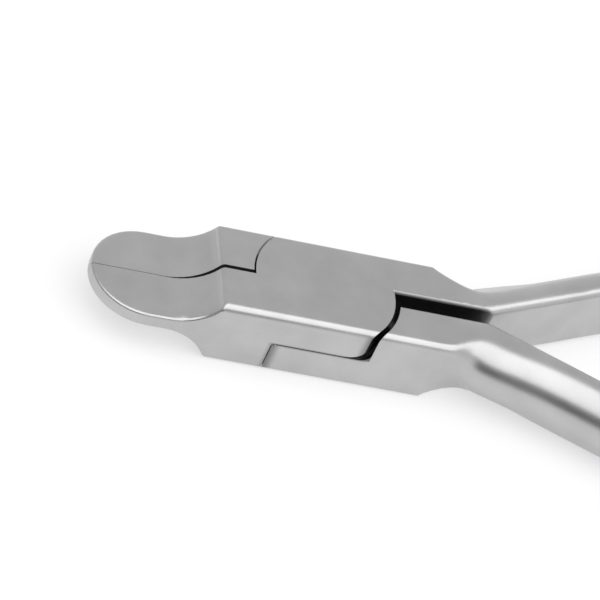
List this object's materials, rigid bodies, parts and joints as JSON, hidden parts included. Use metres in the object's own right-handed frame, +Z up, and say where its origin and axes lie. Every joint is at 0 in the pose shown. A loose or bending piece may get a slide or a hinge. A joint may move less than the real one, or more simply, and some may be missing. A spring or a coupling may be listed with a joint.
{
  "type": "orthodontic pliers",
  "caption": "Lap-joint orthodontic pliers with thin, broad half-round blade jaws and bowed steel handles that open about a flush pivot rivet.",
  "frame": {"origin": "on the pivot axis, at the joint's flat underside", "axes": "-X towards the jaws and +X towards the handles along the middle line, +Z up along the pivot axis, +Y towards the upper half's handle"},
  "size_m": [0.1382, 0.0456, 0.0085],
  "materials": {
    "satin_steel": "satin, fine glass-bead matt with ground edges",
    "rivet_steel": "turned and ground flush"
  },
  "bodies": {
    "lower": {"lower_half": "satin_steel"},
    "upper": {"upper_half": "satin_steel", "pivot_rivet": "rivet_steel"}
  },
  "joints": [
    {"name": "pivot", "type": "hinge", "parent": "lower", "child": "upper", "pos_m": [0, 0, 0.00425], "axis": [0, 0, 1], "range_deg": [0, 75]}
  ]
}
